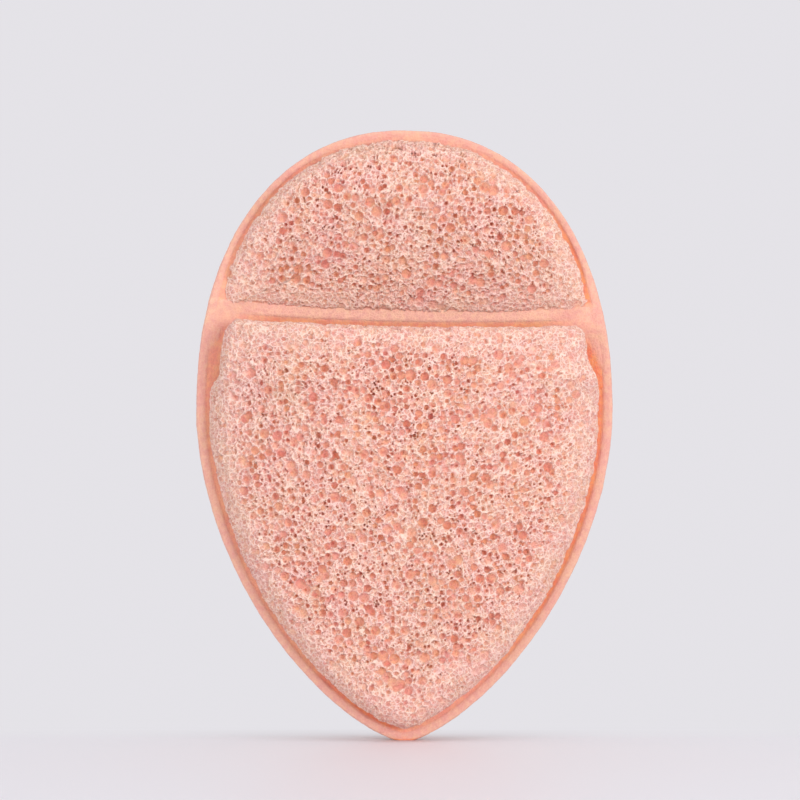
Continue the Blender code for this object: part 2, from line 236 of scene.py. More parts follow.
@dataclass
class CellLayer:
    """Round cells of about one size in the foam, at most one in each box of a turned lattice.

    Attributes:
        radius: mean radius of the cells.
        variation: how far a radius may be from the mean, as a share of it.
        fullness: share of the boxes that hold a cell.
        seed: sets this layer's random numbers.
        pitch_share: size of a box, as a share of the mean radius.
        jitter: how far a cell's centre may lie from the middle of its box, as a share of the box.
        overlap: how far a cell may reach into a larger one, as a share of the mean radius.
        smallest: the least radius that is kept, as a share of the mean one.
        most_lean: how far the lattice may lean, in radians.
        margin: how many spare boxes lie round the surface.
        sheets: how many copies of the surface, one below the other, mark the boxes that are needed.
        turn: the lattice's turn.
        low: its lowest box.
        slots: the number of each box's cell, or -1.
        cells: the cells' centres and radii.
        tones: the cells' tones.
    """

    radius: float
    variation: float
    fullness: float
    seed: int
    pitch_share: float = 1.72
    jitter: float = 0.46
    overlap: float = 0.30
    smallest: float = 0.60
    most_lean: float = 0.35
    margin: int = 3
    sheets: int = 6
    turn: Array = field(init=False)
    low: Array = field(init=False)
    slots: Array = field(init=False)
    cells: Array = field(init=False)
    tones: Array = field(init=False)

    def __post_init__(self) -> None:
        """Turns the lattice, so that its rows don't run along the glove."""
        spin, lean, tilt = np.random.default_rng(self.seed).uniform(-1, 1, 3)
        self.turn = np.array(Euler((self.most_lean * lean, spin, self.most_lean * tilt)).to_matrix())
        self.low = np.zeros(3)

    def boxes(self, points: Array) -> Array:
        """The points in lattice units, counted from the layer's lowest box."""
        return points @ self.turn / (self.radius * self.pitch_share) - self.low

    def lay_out(self, surface: Array, inward: Array, depth: float, larger: list["CellLayer"]) -> None:
        """Places the layer's cells under a surface, in the room that larger ones leave.

        Args:
            surface: points of the uncut surface.
            inward: unit vectors into the foam at those points.
            depth: how deep cells are needed.
            larger: layers that are in place already.
        """
        sheets = [surface + inward * (depth * share) for share in np.linspace(0, 1, self.sheets)]
        self.low = np.floor(np.min([self.boxes(s).min(axis=0) for s in sheets], axis=0)) - self.margin
        size = np.max([self.boxes(s).max(axis=0) for s in sheets], axis=0).astype(int) + self.margin
        near = np.zeros(tuple(size), dtype=bool)
        for sheet in sheets:
            near[tuple(self.boxes(sheet).astype(int).T)] = True
        for axis in range(3):
            near |= np.roll(near, 1, axis) | np.roll(near, -1, axis)
        nodes = np.argwhere(near)
        numbered = nodes + self.low
        shift = np.stack([scattered(numbered, self.seed + k) for k in PLACE_SEEDS], axis=-1) - 0.5
        centres = ((numbered + 0.5 + shift * self.jitter) * (self.radius * self.pitch_share)) @ self.turn.T
        spread = 2 * scattered(numbered, self.seed + RADIUS_SEED) - 1
        radii = self.radius * (1 + self.variation * spread)
        room = np.full(len(nodes), np.inf)
        for layer in larger:
            room = np.minimum(room, layer.clear_distance(centres))
        radii = np.minimum(radii, room + self.overlap * self.radius)
        kept = scattered(numbered, self.seed + KEPT_SEED) < self.fullness
        kept &= radii > self.smallest * self.radius
        self.slots = np.full(near.shape, -1, dtype=np.int32)
        self.slots[tuple(nodes[kept].T)] = np.arange(kept.sum())
        self.cells = np.column_stack((centres[kept], radii[kept]))
        self.tones = scattered(numbered[kept], self.seed + TONE_SEED)

    def around(self, points: Array, reach: int) -> list[tuple[Array, Array]]:
        """The cells near each point, one list for each step to a nearby box.

        Args:
            points: rows of x, y and z.
            reach: how many boxes are looked at along each axis: 2, the nearest, or 3, all round.

        Returns:
            For each step, the numbers of the points that have a cell there, and of those cells.
        """
        here = np.floor(self.boxes(points) + (reach - 3) / 2).astype(int)
        first = (reach - 1) // 2
        top = np.array(self.slots.shape) - 1
        found = []
        for step in np.ndindex(reach, reach, reach):
            slots = self.slots[tuple(np.clip(here + np.array(step) - first, 0, top).T)]
            who = np.nonzero(slots >= 0)[0]
            found.append((who, slots[who]))
        return found

    def clear_distance(self, points: Array) -> Array:
        """How far each point is from the nearest wall of a cell of this layer.

        Args:
            points: rows of x, y and z.

        Returns:
            The distances, negative inside a cell.
        """
        nearest = np.full(len(points), np.inf)
        for who, cell in self.around(points, 3):
            away = np.linalg.norm(self.cells[cell, :3] - points[who], axis=1) - self.cells[cell, 3]
            nearest[who] = np.minimum(nearest[who], away)
        return nearest

    def way_out(self, points: Array, inward: Array) -> tuple[Array, Array]:
        """How far each point must move inward to reach the far wall of the cell that it is in.

        Args:
            points: rows of x, y and z.
            inward: unit vectors into the foam.

        Returns:
            The way of each point, 0 where it is in no cell, and the tone of its cell.
        """
        far, tone = np.zeros(len(points)), np.zeros(len(points))
        for who, cell in self.around(points, 2):
            to_centre = self.cells[cell, :3] - points[who]
            room = self.cells[cell, 3] ** 2 - np.einsum("ij,ij->i", to_centre, to_centre)
            inside = room > 0
            who, cell, room, to_centre = who[inside], cell[inside], room[inside], to_centre[inside]
            along = np.einsum("ij,ij->i", to_centre, inward[who])
            way = along + np.sqrt(along * along + room)
            further = way > far[who]
            far[who[further]] = way[further]
            tone[who[further]] = self.tones[cell[further]]
        return far, tone


@dataclass
class OpenCells:
    """The cells of one foam sheet, from the largest down, and how a cut surface falls into them.

    Attributes:
        seed: sets the sheet's random numbers.
        deepest: the depth that no cell's floor quite reaches.
        passes: how many cells, one below the other, a point may fall through.
        even_tone: the tone where no cell is cut.
        sheet_seeds: how far apart the seeds of two sheets lie.
        layer_seeds: how far apart the seeds of two layers lie.
        sizes: each layer's mean radius, its variation and its fullness.
    """

    seed: int
    deepest: float = 0.0014
    passes: int = 2
    even_tone: float = 0.5
    sheet_seeds: int = 100
    layer_seeds: int = 10
    sizes: tuple[tuple[float, float, float], ...] = (
        (0.00098, 0.22, 0.22),
        (0.00074, 0.20, 0.40),
        (0.00053, 0.22, 0.72),
        (0.00037, 0.20, 1.00),
        (0.00026, 0.15, 1.00),
    )

    def carve(self, surface: Array, inward: Array, allowed: Array) -> tuple[Array, Array]:
        """How deep the cut surface lies below each point of the uncut one.

        Args:
            surface: points of the uncut surface.
            inward: unit vectors into the foam at those points.
            allowed: the most depth at each point, as a share of the deepest.

        Returns:
            The depth and the cell's tone at each point.
        """
        layers: list[CellLayer] = []
        for number, (radius, variation, fullness) in enumerate(self.sizes):
            seed = self.seed * self.sheet_seeds + number * self.layer_seeds
            layer = CellLayer(radius, variation, fullness, seed)
            layer.lay_out(surface, inward, self.deepest, layers)
            layers.append(layer)
        depth, tone = np.zeros(len(surface)), np.full(len(surface), self.even_tone)
        moving = np.arange(len(surface))
        for _ in range(self.passes):
            here = surface[moving] + inward[moving] * depth[moving, None]
            step, new_tone = np.zeros(len(moving)), np.zeros(len(moving))
            for layer in layers:
                way, layer_tone = layer.way_out(here, inward[moving])
                further = way > step
                step[further], new_tone[further] = way[further], layer_tone[further]
            gone = step > 0
            depth[moving] += step
            tone[moving[gone]] = new_tone[gone]
            moving = moving[gone]
        return self.deepest * (1 - np.exp(-depth / self.deepest)) * allowed, tone


@dataclass
class Pad:
    """A pad of open foam: a closed shell whose outside is finely divided and cut into cells.

    The outside is a square net of points drawn onto the pad's outline, so that no pole shows.
    Along each ray from the middle it runs over the dome, round the edge, and a little way
    under it. The hand's side is closed with coarser rings.

    Attributes:
        weld: where the sheets meet.
        name: the new piece's name.
        node: the node that it stands for.
        side: the side of the weld plane that it lies on.
        middle_height: height of the middle that the rays leave from.
        spacing: how far apart the net's lines are.
        seed: sets the pad's random numbers.
    """

    weld: Weld
    name: str
    node: str
    side: Side
    middle_height: float
    spacing: float
    seed: int
    edge_round: float = 0.0055
    edge_squareness: float = 2.5
    draw_in: float = 0.0005
    draw_in_share: float = 0.35
    inner_round: float = 0.0022
    inner_reach: float = 0.0005
    inner_rings: int = 12
    inner_turn_share: float = 1.4
    joined_turn_share: float = 1 / 6
    fillet_share: float = 0.8
    fillet_points: int = 65
    ragged: float = 0.00040
    teeth: tuple[int, ...] = (60, 190, 460)
    step_share: float = 0.001
    pole_share: float = 0.02
    foot_cells: float = 0.05
    foot_share: float = 0.03
    edge_cells: float = 0.50
    edge_shares: tuple[float, float] = (0.66, 0.84)
    softening: float = 0.3
    coarsening: int = 4
    even_tone: float = 0.5
    map_split: float = 0.16
    map_fill: float = 0.9

    def outline(self) -> Array:
        """The pad's edge as rows of x and z, closed and close together."""
        raise NotImplementedError

    def outer_depth(self, x: Array, z: Array, share: Array) -> Array:
        """Depth of the outside from the weld plane, share being 0 in the middle and 1 at the edge."""
        raise NotImplementedError

    def inner_depth(self, x: Array, z: Array, share: Array) -> Array:
        """Depth of the hand's side from the weld plane."""
        raise NotImplementedError

    def free_edge(self, z: Array) -> Array:
        """A share of 1 where the edge is cut free, and 0 where it joins a rim."""
        return np.zeros_like(z)

    def edge_reach(self, x: Array, z: Array) -> Array:
        """How far the outer rounding reaches in from the edge."""
        return np.full_like(z, self.edge_round)

    def surface(self, angle: Array, share: Array) -> Array:
        """Points of the uncut surface.

        Args:
            angle: direction from the pad's middle, 0 at +X.
            share: way from the middle over the dome, round the edge and under it, up to 1.

        Returns:
            The points as an array with a last axis of x, y and z.
        """
        edge = self.outline() - (0.0, self.middle_height)
        edge_angle = np.arctan2(edge[:, 1], edge[:, 0])
        order = np.argsort(edge_angle)
        edge_radius = np.hypot(edge[:, 0], edge[:, 1])
        radius = np.interp(angle, edge_angle[order], edge_radius[order], period=math.tau)
        radius = radius + self.ragged * self.frayed(angle)
        edge_x, edge_rise = radius * np.cos(angle), radius * np.sin(angle)
        edge_z = self.middle_height + edge_rise
        free, reach = self.free_edge(edge_z), self.edge_reach(edge_x, edge_z)
        at_edge = np.ones_like(radius)
        outer_edge = self.outer_depth(edge_x, edge_z, at_edge)
        halfway = (outer_edge + self.inner_depth(edge_x, edge_z, at_edge)) / 2
        edge_depth = blend(self.weld.clearance / 2, halfway, free)

        ways, rises = self.round_edge()
        flat = radius - reach
        fillet = self.fillet_share * (reach + outer_edge - edge_depth)
        turn_under = self.inner_round * self.inner_turn_share
        under = blend(turn_under * self.joined_turn_share, turn_under + self.inner_reach, free)
        way = share * (flat + fillet + under)
        rise = np.interp((way - flat) / fillet, ways, rises)
        drawn = self.draw_in * np.maximum(0.0, 1 - rise / self.draw_in_share) * (1 - free)
        fallen = 1 - (1 - rise**self.edge_squareness) ** (1 / self.edge_squareness)
        outer_inset = np.where(way < flat, radius - way, reach * fallen) + drawn
        turned = np.clip((way - flat - fillet) / turn_under, 0.0, 1.0) * math.pi / 2
        past = np.maximum(way - flat - fillet - turn_under, 0.0)
        inner_inset = self.inner_round * (1 - np.cos(turned)) + past + self.draw_in * (1 - free)
        place = 1 - np.where(turned > 0, inner_inset, outer_inset) / radius
        x, z = edge_x * place, self.middle_height + edge_rise * place
        outer = blend(edge_depth, self.outer_depth(x, z, place), rise)
        inner = blend(edge_depth, self.inner_depth(x, z, place), np.sin(turned))
        return np.stack((x, self.weld.out(self.side, np.where(turned > 0, inner, outer)), z), axis=-1)

    def inward(self, angle: Array, share: Array) -> Array:
        """Directions into the foam at points of the surface.

        Args:
            angle: direction from the pad's middle.
            share: way from the middle to the net's border.

        Returns:
            Unit vectors, straight in near the middle, where the rays meet.
        """
        small = self.step_share
        turn = small / np.maximum(share, self.pole_share)
        outwards = self.surface(angle, share + small) - self.surface(angle, np.maximum(share - small, 0.0))
        around = self.surface(angle + turn, share) - self.surface(angle - turn, share)
        into = np.cross(outwards, around) * self.side.value
        into = np.where(share[..., None] < self.pole_share, (0.0, -self.side.value, 0.0), into)
        return into / np.maximum(np.linalg.norm(into, axis=-1, keepdims=True), TINY)

    def frayed(self, angle: Array) -> Array:
        """Small teeth along the cut outline.

        Args:
            angle: direction from the pad's middle.

        Returns:
            How far out the edge stands there, from -1 to 1.
        """
        random = np.random.default_rng(self.seed)
        teeth = np.zeros_like(angle)
        for count in self.teeth:
            knots = random.uniform(-1, 1, count)
            teeth += np.interp(angle, np.linspace(0, math.tau, count, endpoint=False), knots, period=math.tau)
        return teeth / len(self.teeth)

    def round_edge(self) -> tuple[Array, Array]:
        """The round edge as a table.

        Returns:
            Shares of the way down it, and the shares of the height that are left there.
        """
        turns = np.linspace(math.pi / 2, 0, self.fillet_points)
        rise = np.sin(turns) ** (2 / self.edge_squareness)
        out = np.cos(turns) ** (2 / self.edge_squareness)
        way = np.concatenate(((0.0,), np.cumsum(np.hypot(np.diff(rise), np.diff(out)))))
        return way / way[-1], rise

    def net(self) -> tuple[Array, Array]:
        """The square net drawn onto a disc.

        Returns:
            The angle and the share of each of its points, in rows.
        """
        sizes, every = np.ptp(self.outline(), axis=0), self.coarsening
        wide, high = sizes
        columns, rows = (every * round(size / self.spacing / every) + 1 for size in sizes)
        u, v = np.meshgrid(np.linspace(-1, 1, columns), np.linspace(-1, 1, rows))
        x, z = u * np.sqrt(1 - v * v / 2), v * np.sqrt(1 - u * u / 2)
        return np.arctan2(z * high, x * wide), np.minimum(np.hypot(x, z), 1.0)

    def make(self) -> bpy.types.Object:
        """Builds the pad and cuts its cells open.

        Returns:
            The new piece.
        """
        angle, share = self.net()
        surface = self.surface(angle, share).reshape(-1, 3)
        inward = self.inward(angle, share).reshape(-1, 3)
        cells = OpenCells(self.seed)
        depth, tone = cells.carve(surface, inward, self.allowed(share).ravel())
        depth = self.softened(depth.reshape(share.shape)).ravel()
        return self.shell(surface + inward * depth[:, None], depth / cells.deepest, tone, share.shape)

    def allowed(self, share: Array) -> Array:
        """How deep cells may be, as a share: less on the round edge, and hardly any at its foot."""
        foot = blend(self.foot_cells, 1.0, smooth_step(1 - share, 0.0, self.foot_share))
        return foot * blend(1.0, self.edge_cells, smooth_step(share, *self.edge_shares))

    def softened(self, depth: Array) -> Array:
        """Rounds the edges of the cells a little."""
        sides = [np.roll(depth, shift, axis) for axis in (0, 1) for shift in (1, -1)]
        return blend(depth, sum(sides) / len(sides), self.softening)

    def shell(
        self, points: Array, pit: Array, tone: Array, shape: tuple[int, int]
    ) -> bpy.types.Object:
        """Makes the closed mesh: the net outside, and rings on the hand's side.

        Args:
            points: the net's points, row after row.
            pit: how deep each lies in its cell, as a share of the deepest.
            tone: the tone of its cell.
            shape: the net's rows and columns.

        Returns:
            The new piece, with pit and tone as attributes.
        """
        index = np.arange(len(points)).reshape(shape)
        net = np.stack((index[:-1, :-1], index[:-1, 1:], index[1:, 1:], index[1:, :-1]), axis=-1)
        quads = [net.reshape(-1, 4)]
        border = np.concatenate((index[0, :-1], index[:-1, -1], index[-1, :0:-1], index[:0:-1, 0]))
        every = self.coarsening
        start = points[border[::every]]
        count = len(start)
        vertices = [points]
        rings = []
        for keep in np.linspace(1, 0, self.inner_rings + 2)[1:-1]:
            x, z = start[:, 0] * keep, self.middle_height + (start[:, 2] - self.middle_height) * keep
            y = self.weld.out(self.side, self.inner_depth(x, z, np.full(count, keep)))
            rings.append(len(points) + count * len(rings) + np.arange(count))
            vertices.append(np.column_stack((x, y, z)))
        first, after = rings[0], np.roll(rings[0], -1)
        corners = [np.roll(border, -k)[::every] for k in range(every + 1)]
        tris = [np.stack((corners[k], corners[k + 1], first), axis=-1) for k in range(every // 2)]
        tris += [np.stack((corners[k], corners[k + 1], after), axis=-1) for k in range(every // 2, every)]
        tris.append(np.stack((corners[every // 2], after, first), axis=-1))
        for ring, inner in zip(rings, rings[1:], strict=False):
            quads.append(np.stack((ring, np.roll(ring, -1), np.roll(inner, -1), inner), axis=-1))
        centre = np.array((0.0,)), np.array((self.middle_height,))
        y = self.weld.out(self.side, self.inner_depth(*centre, np.zeros(1)))
        vertices.append(np.column_stack((centre[0], y, centre[1])))
        last = rings[-1]
        tris.append(np.stack((last, np.roll(last, -1), np.full(count, last[-1] + 1)), axis=-1))
        total = np.concatenate(vertices)
        piece = mesh_piece(self.name, total, np.concatenate(quads), np.concatenate(tris), self.side)
        self.lay_map(piece, total, shape, net.size)
        for name, values, rest in (("pit", pit, 0.0), ("tone", tone, self.even_tone)):
            spread = np.full(len(total), rest, dtype=np.float32)
            spread[: len(values)] = values
            piece.data.attributes.new(name, "FLOAT", "POINT").data.foreach_set("value", spread)
        return piece

    def lay_map(
        self, piece: bpy.types.Object, places: Array, shape: tuple[int, int], net_corners: int
    ) -> None:
        """Gives the piece a map: the net as it is, and the hand's side, seen square on, below it.

        Args:
            piece: the piece.
            places: its vertices as rows of x, y and z.
            shape: the net's rows and columns.
            net_corners: how many of the mesh's corners, the first ones, belong to the net.
        """
        rows, columns = shape
        across, up = np.meshgrid(np.linspace(0, 1, columns), np.linspace(self.map_split, 1, rows))
        flat = places[:, (0, 2)] - places[:, (0, 2)].min(axis=0)
        flat *= self.map_fill * self.map_split / flat.max()
        vertex = np.empty(len(piece.data.loops), dtype=np.int32)
        piece.data.loops.foreach_get("vertex_index", vertex)
        corners = flat[vertex]
        corners[:net_corners] = np.stack((across.ravel(), up.ravel()), axis=-1)[vertex[:net_corners]]
        layer = piece.data.uv_layers.new(name="OFBake")
        layer.uv.foreach_set("vector", corners.astype(np.float32).ravel())


def mesh_piece(name: str, vertices: Array, quads: Array, tris: Array, side: Side) -> bpy.types.Object:
    """Makes a piece of these vertices, quads and triangles, smooth shaded.

    Args:
        name: the piece's name.
        vertices: rows of x, y and z.
        quads: rows of four vertex numbers.
        tris: rows of three vertex numbers.
        side: the side that the net, whose rows run up and columns to the right, looks to.

    Returns:
        The new object.
    """
    if side is Side.FACE:
        quads, tris = quads[:, ::-1], tris[:, ::-1]
    mesh = bpy.data.meshes.new(name)
    mesh.vertices.add(len(vertices))
    mesh.vertices.foreach_set("co", vertices.astype(np.float32).ravel())
    loops = np.concatenate((quads.ravel(), tris.ravel())).astype(np.int32)
    mesh.loops.add(len(loops))
    mesh.loops.foreach_set("vertex_index", loops)
    sizes = np.concatenate((np.full(len(quads), 4), np.full(len(tris), 3)))
    mesh.polygons.add(len(sizes))
    mesh.polygons.foreach_set("loop_start", (np.cumsum(sizes) - sizes).astype(np.int32))
    mesh.polygons.foreach_set("use_smooth", np.ones(len(sizes), dtype=bool))
    mesh.update(calc_edges=True)
    made = bpy.data.objects.new(name, mesh)
    bpy.context.collection.objects.link(made)
    return made


def crowned(height: float, drop: float, flat_share: float, share: Array) -> Array:
    """A pad's height at a share of the way out: level in the middle, then lower by drop at the edge."""
    out = np.maximum(0.0, (share - flat_share) / (1 - flat_share))
    return height - drop * out * out


def joined_with_corners(first: Array, second: Array, radius: float, points: int = 40) -> Array:
    """Two lines that meet at both ends, joined into one closed line with rounded corners.

    Args:
        first: rows of x and z.
        second: rows that run on from the end of first, back to its start.
        radius: how far before and after each corner the rounding begins.
        points: how finely a corner is rounded.

    Returns:
        The rows of the closed line.
    """
    ends = np.array((first[0], first[-1]))
    kept = []
    for line in (first, second):
        away = np.linalg.norm(line[:, None] - ends, axis=-1).min(axis=1)
        kept.append(line[away > radius])
    parts = []
    share = np.linspace(0, 1, points)[1:-1, None]
    for line, after, corner in ((kept[0], kept[1], first[-1]), (kept[1], kept[0], first[0])):
        parts += [line, blend(blend(line[-1], corner, share), blend(corner, after[0], share), share)]
    return np.concatenate(parts)


@dataclass
class FacePad(Pad):
    """The cleansing pad, the whole drop inside its rim."""

    name: str = "face_foam"
    node: str = "face_pad"
    side: Side = Side.FACE
    middle_height: float = 0.064
    spacing: float = 0.00021
    seed: int = 13
    height: float = 0.0112
    crown_drop: float = 0.0012
    flat_share: float = 0.36
    dish: float = 0.0019
    points: int = 1440

    def outline(self) -> Array:
        """The whole drop, inside its rim."""
        angles = np.linspace(0, math.tau, self.points, endpoint=False)
        return self.weld.drop.places(angles, self.weld.rim_width)

    def outer_depth(self, x: Array, z: Array, share: Array) -> Array:
        """A dome that is level in the middle."""
        return crowned(self.height, self.crown_drop, self.flat_share, share)

    def inner_depth(self, x: Array, z: Array, share: Array) -> Array:
        """A shallow dish."""
        return self.weld.clearance / 2 + self.dish * (1 - share * share)


@dataclass
class FlapPad(Pad):
    """The pad above the mouth of the pocket."""

    name: str = "flap_foam"
    node: str = "flap_pad"
    side: Side = Side.POCKET
    middle_height: float = 0.1045
    spacing: float = 0.00013
    seed: int = 12
    height: float = 0.0098
    crown_drop: float = 0.0014
    dish: float = 0.0006
    corner: float = 0.0032
    slope: float = 0.0240
    slope_squareness: float = 1.10
    slope_foot_share: float = 0.20
    hem_round: float = 0.0012
    hem_reach: tuple[float, float] = (0.0900, 0.0980)
    corner_reach: tuple[float, float] = (0.0200, 0.0330)
    arch_points: int = 900
    straight_points: int = 500

    def outline(self) -> Array:
        """The drop's upper part inside its rim, then along the top of the hem."""
        weld, drop = self.weld, self.weld.drop
        reach = float(drop.half_width_at(weld.hem_top(drop.half_width), weld.rim_width))
        start = drop.angle_at_height(float(weld.hem_top(reach)), weld.rim_width)
        angles = np.linspace(start, math.pi - start, self.arch_points)
        arch = drop.places(angles, weld.rim_width * weld.rim_share(drop.places(angles)[:, 1]))
        x = np.linspace(arch[-1, 0], arch[0, 0], self.straight_points)
        return joined_with_corners(arch, np.column_stack((x, weld.hem_top(x))), self.corner)

    def outer_depth(self, x: Array, z: Array, share: Array) -> Array:
        """A dome that slopes down to the hem along its lower edge."""
        left = np.clip(1 - (z - self.weld.hem_top(x)) / self.slope, 0.0, 1.0)
        slope = (1 - left**self.slope_squareness) ** (1 / self.slope_squareness)
        return crowned(self.height, self.crown_drop, 0.0, share) * blend(self.slope_foot_share, 1, slope)

    def edge_reach(self, x: Array, z: Array) -> Array:
        """The edge is rounded more tightly along the hem, but not at its corners."""
        near_side = np.maximum(smooth_step(z, *self.hem_reach), smooth_step(np.abs(x), *self.corner_reach))
        return blend(self.hem_round, self.edge_round, near_side)

    def inner_depth(self, x: Array, z: Array, share: Array) -> Array:
        """A very shallow dish."""
        return self.weld.clearance / 2 + self.dish * (1 - share * share)


@dataclass
class PocketPad(Pad):
    """The pad of the pocket, whose lip stands off the sheet behind it."""

    name: str = "pocket_foam"
    node: str = "pocket_pad"
    side: Side = Side.POCKET
    middle_height: float = 0.050
    spacing: float = 0.00013
    seed: int = 11
    thickness: float = 0.0078
    crown_drop: float = 0.0008
    hollow: float = 0.0074
    fullness: float = 2.4
    rise: float = 0.6
    corner: float = 0.0024
    lip_round: float = 0.0034
    side_inset: float = 0.0046
    free_foot: float = 0.0708
    left_slant: tuple[float, float] = (0.0712, 0.0764)
    right_slant: tuple[float, float] = (0.0712, 0.0808)
    lift_reach: float = 0.0045
    hollow_foot: float = 0.009
    side_points: int = 1400
    lip_points: int = 500

    def outline(self) -> Array:
        """Up one side from the tip, along the lip, and down the other side."""
        weld, drop = self.weld, self.weld.drop
        top = drop.angle_at_height(float(weld.lip_top(drop.half_width)), self.side_inset)
        angles = np.linspace(math.pi - top, math.tau + top, self.side_points)
        x, z = drop.places(angles).T
        slant = np.where(x < 0, smooth_step(z, *self.left_slant), smooth_step(z, *self.right_slant))
        sides = drop.places(angles, blend(weld.rim_width, self.side_inset, slant))
        x = np.linspace(sides[-1, 0], sides[0, 0], self.lip_points)
        return joined_with_corners(sides, np.column_stack((x, weld.lip_top(x))), self.corner)

    def free_edge(self, z: Array) -> Array:
        """The lip and the free sides are cut free, and lie over the ears."""
        return smooth_step(z, self.free_foot, self.free_foot + self.lift_reach)

    def edge_reach(self, x: Array, z: Array) -> Array:
        """The free edges are rounded more tightly than those at the rim."""
        return blend(self.edge_round, self.lip_round, self.free_edge(z))

    def inner_depth(self, x: Array, z: Array, share: Array) -> Array:
        """The hand's side bows off the weld plane, most at the middle of the lip."""
        weld = self.weld
        over_ears = (weld.hem_thickness + weld.clearance) * self.free_edge(z)
        half_width = weld.drop.half_width_at(np.maximum(z, self.hollow_foot), self.side_inset)
        across = np.minimum(np.abs(x) / half_width, 1.0) ** self.fullness
        along = smooth_step(z, self.hollow_foot, weld.lip_height) ** self.rise
        return weld.clearance / 2 + over_ears + (self.hollow - over_ears) * (1 - across) * along

    def outer_depth(self, x: Array, z: Array, share: Array) -> Array:
        """The hand's side, and the foam's thickness on it."""
        return self.inner_depth(x, z, share) + crowned(self.thickness, self.crown_drop, 0.0, share)


@dataclass(frozen=True)
class SectionPoint:
    """One line along a pressed strip.

    Attributes:
        across: how far in from the outline it lies.
        out: how far out from the weld plane it lies, as a share of the strip's thickness.
        crease: how much painted shade it carries, from 0 on the bead to 1 in the crease.
    """

    across: float
    out: float
    crease: float


@dataclass
class Grain:
    """The uneven surface of pressed foam, as displacement: slow waves, and a fine grain."""

    wave_size: float = 0.0035
    wave_height: float = 0.00022
    grain_size: float = 0.00035
    grain_height: float = 0.00014
    noise_depth: int = 2
    mid_level: float = 0.5

    def press_into(self, piece: bpy.types.Object) -> None:
        """Displaces a piece's surface and keeps its foot on the floor.

        Args:
            piece: the piece, which is the active object.
        """
        for name, size, height in (
            ("waves", self.wave_size, self.wave_height),
            ("grain", self.grain_size, self.grain_height),
        ):
            texture = bpy.data.textures.new(name, "CLOUDS")
            texture.noise_scale = size
            texture.noise_depth = self.noise_depth
            displace = piece.modifiers.new(name, "DISPLACE")
            displace.texture = texture
            displace.texture_coords = "LOCAL"
            displace.strength = height
            displace.mid_level = self.mid_level
            bpy.ops.object.modifier_apply(modifier=name)
        for vertex in piece.data.vertices:
            vertex.co.z = max(vertex.co.z, 0.0)


def start_piece(name: str) -> bpy.types.Object:
    """Names the new primitive, which stands at the origin.

    Args:
        name: the piece's name.

    Returns:
        The piece.
    """
    piece = bpy.context.active_object
    piece.name = piece.data.name = name
    return piece


def smoothed(piece: bpy.types.Object, levels: int) -> None:
    """Rounds a piece with Subdivision Surface, applied, and shades it smooth.

    Args:
        piece: the piece, which is the active object.
        levels: how often it is divided.
    """
    rounding = piece.modifiers.new("rounding", "SUBSURF")
    rounding.levels = rounding.render_levels = levels
    bpy.ops.object.modifier_apply(modifier=rounding.name)
    piece.data.shade_smooth()


